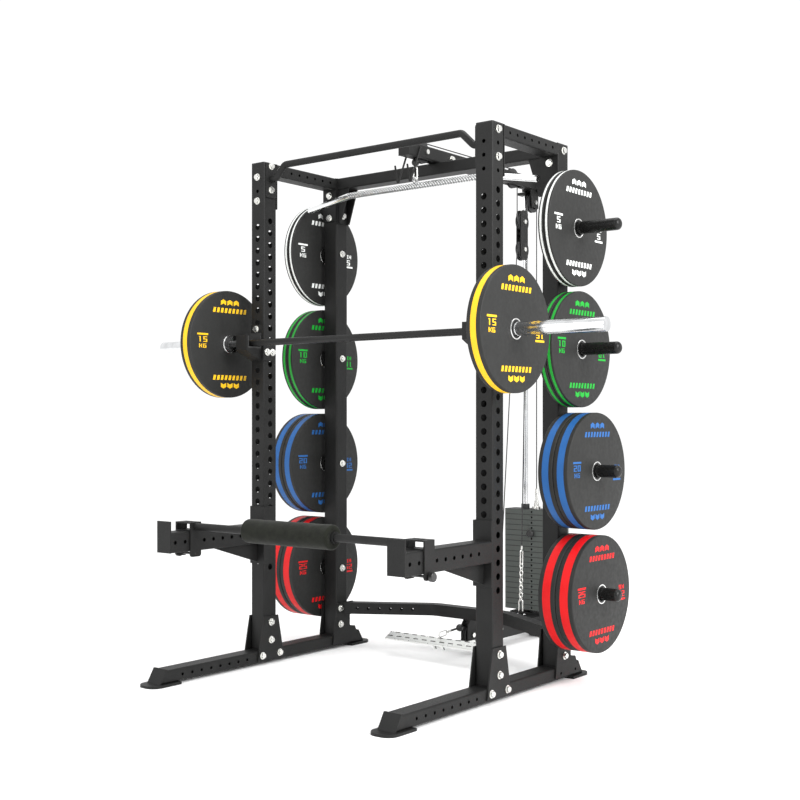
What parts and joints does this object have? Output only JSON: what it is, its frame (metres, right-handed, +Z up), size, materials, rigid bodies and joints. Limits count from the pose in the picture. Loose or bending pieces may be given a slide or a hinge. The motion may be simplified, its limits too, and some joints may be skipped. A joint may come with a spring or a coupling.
{
  "type": "power cage",
  "caption": "Half-rack power cage with barbell, bumper plates on storage pegs, spotter arms with a leg roller, a lat pulldown and a low row driven by a weight stack.",
  "frame": {"origin": "bottom centre of the overall box, on the floor", "axes": "+X to the user's left-to-right across the rack, +Y from the open front to the weight stack at the rear, +Z up"},
  "size_m": [2.2, 2.08, 2.175],
  "materials": {
    "frame_black": "fine textured powder coat",
    "bracket_black": "fine textured powder coat",
    "zinc_bolt": "zinc plated",
    "peg_black": "smooth satin powder coat",
    "shaft_black": "black oxide",
    "chrome": "polished",
    "plate_rubber": "smooth matt rubber",
    "cap_plastic": "matt",
    "liner_plastic": "matt",
    "stack_grey": "satin",
    "pulley_plastic": "satin",
    "cable_black": "nylon coated",
    "foam": "closed-cell foam",
    "steel": "galvanised",
    "knob": "moulded"
  },
  "bodies": {
    "frame": {"anchor_chain": "steel", "bar_hangers": "frame_black", "base_beam": "frame_black", "base_gussets": "bracket_black", "base_rails": "frame_black", "floating_block": "bracket_black", "foot_bar": "steel", "foot_plates": "bracket_black", "frame_bolts": "zinc_bolt", "front_uprights": "frame_black", "guide_rods": "chrome", "j_hook_liners": "liner_plastic", "j_hooks": "bracket_black", "lat_arm": "frame_black", "lat_cable": "cable_black", "lat_cable_drop": "cable_black", "lat_column": "frame_black", "low_cable": "cable_black", "low_row_end": "cable_black", "low_row_pulleys": "pulley_plastic", "pull_up_bar": "frame_black", "pulley_axles": "zinc_bolt", "pulley_housings": "bracket_black", "rear_bottom_crossmember": "frame_black", "rear_uprights": "frame_black", "roller_bar": "frame_black", "roller_saddles": "frame_black", "spotter_arms": "frame_black", "stack_cable_drop": "cable_black", "stack_lower": "stack_grey", "stack_pads": "cap_plastic", "storage_pegs": "peg_black", "top_crossmembers": "frame_black", "upright_caps": "cap_plastic"},
    "lifted_stack": {"stack_upper": "stack_grey", "selector_stem": "zinc_bolt", "top_bumpers": "cap_plastic"},
    "selector_pin": {"selector_pin": "knob"},
    "lat_bar": {"lat_bar": "chrome", "lat_bar_link": "steel"},
    "front_pulley": {"front_pulley": "pulley_plastic"},
    "middle_pulley": {"middle_pulley": "pulley_plastic"},
    "rear_pulley": {"rear_pulley": "pulley_plastic"},
    "floating_upper_pulley": {"floating_upper_pulley": "pulley_plastic"},
    "barbell": {"barbell_shaft": "shaft_black"},
    "sleeve_left": {"barbell_sleeve_left": "chrome"},
    "sleeve_right": {"barbell_sleeve_right": "chrome"},
    "bar_plate_left": {"barbell_plate_left": "plate_rubber"},
    "bar_plate_right": {"barbell_plate_right": "plate_rubber"},
    "roller": {"foam_roller": "foam"},
    "knob_left": {"saddle_knob_left": "knob"},
    "knob_right": {"saddle_knob_right": "knob"},
    "red_pair_left": {"red_plates_left": "plate_rubber"},
    "red_pair_right": {"red_plates_right": "plate_rubber"},
    "blue_pair_left": {"blue_plates_left": "plate_rubber"},
    "blue_pair_right": {"blue_plates_right": "plate_rubber"},
    "green_pair_left": {"green_plates_left": "plate_rubber"},
    "green_pair_right": {"green_plates_right": "plate_rubber"},
    "white_pair_left": {"white_plates_left": "plate_rubber"},
    "white_pair_right": {"white_plates_right": "plate_rubber"}
  },
  "joints": [
    {"name": "stack_lift", "type": "slide", "parent": "frame", "child": "lifted_stack", "axis": [0, 0, 1], "range_m": [0, 1.1], "deforming": ["stack_cable_drop"]},
    {"name": "selector_pin_pull", "type": "slide", "parent": "lifted_stack", "child": "selector_pin", "axis": [0, -1, 0], "range_m": [0, 0.014]},
    {"name": "lat_bar_pull", "type": "slide", "parent": "frame", "child": "lat_bar", "axis": [0, 0, -1], "range_m": [0, 1.1], "deforming": ["lat_cable_drop"]},
    {"name": "front_pulley_spin", "type": "hinge", "parent": "frame", "child": "front_pulley", "pos_m": [0, -0.051, 2.13], "axis": [1, 0, 0], "range_deg": [0, 1495]},
    {"name": "middle_pulley_spin", "type": "hinge", "parent": "frame", "child": "middle_pulley", "pos_m": [0, 0.6365, 2.13], "axis": [1, 0, 0], "range_deg": [0, 1495]},
    {"name": "rear_pulley_spin", "type": "hinge", "parent": "frame", "child": "rear_pulley", "pos_m": [0, 0.8057, 2.04], "axis": [1, 0, 0], "range_deg": [0, 1495]},
    {"name": "floating_upper_pulley_spin", "type": "hinge", "parent": "frame", "child": "floating_upper_pulley", "pos_m": [0, 0.7211, 1.94], "axis": [1, 0, 0], "range_deg": [-1495, 0]},
    {"name": "barbell_lift", "type": "slide", "parent": "frame", "child": "barbell", "axis": [0, 0, 1], "range_m": [0, 0.4]},
    {"name": "sleeve_left_spin", "type": "hinge", "parent": "barbell", "child": "sleeve_left", "pos_m": [-0.685, -0.485, 1.34], "axis": [1, 0, 0], "continuous": true},
    {"name": "bar_plate_left_slide", "type": "slide", "parent": "sleeve_left", "child": "bar_plate_left", "axis": [-1, 0, 0], "range_m": [0, 0.35]},
    {"name": "sleeve_right_spin", "type": "hinge", "parent": "barbell", "child": "sleeve_right", "pos_m": [0.685, -0.485, 1.34], "axis": [1, 0, 0], "continuous": true},
    {"name": "bar_plate_right_slide", "type": "slide", "parent": "sleeve_right", "child": "bar_plate_right", "axis": [1, 0, 0], "range_m": [0, 0.35]},
    {"name": "red_pair_left_slide", "type": "slide", "parent": "frame", "child": "red_pair_left", "axis": [-1, 0, 0], "range_m": [0, 0.24]},
    {"name": "red_pair_right_slide", "type": "slide", "parent": "frame", "child": "red_pair_right", "axis": [1, 0, 0], "range_m": [0, 0.24]},
    {"name": "blue_pair_left_slide", "type": "slide", "parent": "frame", "child": "blue_pair_left", "axis": [-1, 0, 0], "range_m": [0, 0.24]},
    {"name": "blue_pair_right_slide", "type": "slide", "parent": "frame", "child": "blue_pair_right", "axis": [1, 0, 0], "range_m": [0, 0.24]},
    {"name": "green_pair_left_slide", "type": "slide", "parent": "frame", "child": "green_pair_left", "axis": [-1, 0, 0], "range_m": [0, 0.24]},
    {"name": "green_pair_right_slide", "type": "slide", "parent": "frame", "child": "green_pair_right", "axis": [1, 0, 0], "range_m": [0, 0.24]},
    {"name": "white_pair_left_slide", "type": "slide", "parent": "frame", "child": "white_pair_left", "axis": [-1, 0, 0], "range_m": [0, 0.24]},
    {"name": "white_pair_right_slide", "type": "slide", "parent": "frame", "child": "white_pair_right", "axis": [1, 0, 0], "range_m": [0, 0.24]},
    {"name": "roller_spin", "type": "hinge", "parent": "frame", "child": "roller", "pos_m": [0, -0.819, 0.603], "axis": [1, 0, 0], "continuous": true},
    {"name": "knob_left_pull", "type": "slide", "parent": "frame", "child": "knob_left", "axis": [-1, 0, 0], "range_m": [0, 0.02], "stiffness_N_per_m": 400},
    {"name": "knob_right_pull", "type": "slide", "parent": "frame", "child": "knob_right", "axis": [1, 0, 0], "range_m": [0, 0.02], "stiffness_N_per_m": 400}
  ],
  "couplings": [
    {"joint": "lat_bar_pull", "follows": "stack_lift", "ratio": 1},
    {"joint": "front_pulley_spin", "follows": "stack_lift", "rad_per_m": 23.641},
    {"joint": "middle_pulley_spin", "follows": "stack_lift", "rad_per_m": 23.641},
    {"joint": "rear_pulley_spin", "follows": "stack_lift", "rad_per_m": 23.641},
    {"joint": "floating_upper_pulley_spin", "follows": "stack_lift", "rad_per_m": -23.641}
  ]
}
